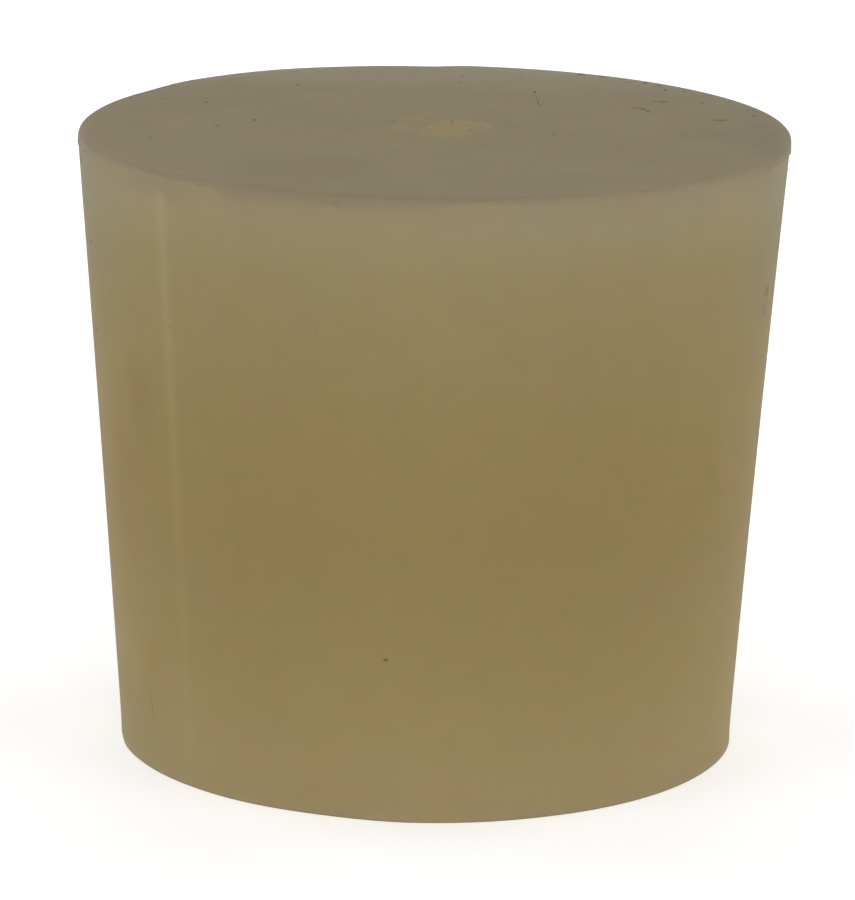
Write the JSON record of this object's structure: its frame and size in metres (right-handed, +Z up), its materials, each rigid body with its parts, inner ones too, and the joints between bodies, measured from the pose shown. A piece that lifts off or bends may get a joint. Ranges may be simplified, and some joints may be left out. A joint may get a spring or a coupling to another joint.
{
  "type": "rubber stopper",
  "caption": "Solid tapered natural rubber stopper for closing the neck of laboratory glassware, with a moulded rim at its wide end.",
  "frame": {"origin": "middle of the small end's face, on which the stopper stands", "axes": "+Z up the stopper's axis from the small end to the wide end; X and Y lie across it, and the stopper is the same all round apart from its torn flash"},
  "size_m": [0.0286, 0.0287, 0.0252],
  "materials": {
    "gum_rubber": "satin tan natural rubber, slightly translucent, with a dull bloom"
  },
  "bodies": {
    "root": {"stopper": "gum_rubber"}
  },
  "joints": []
}
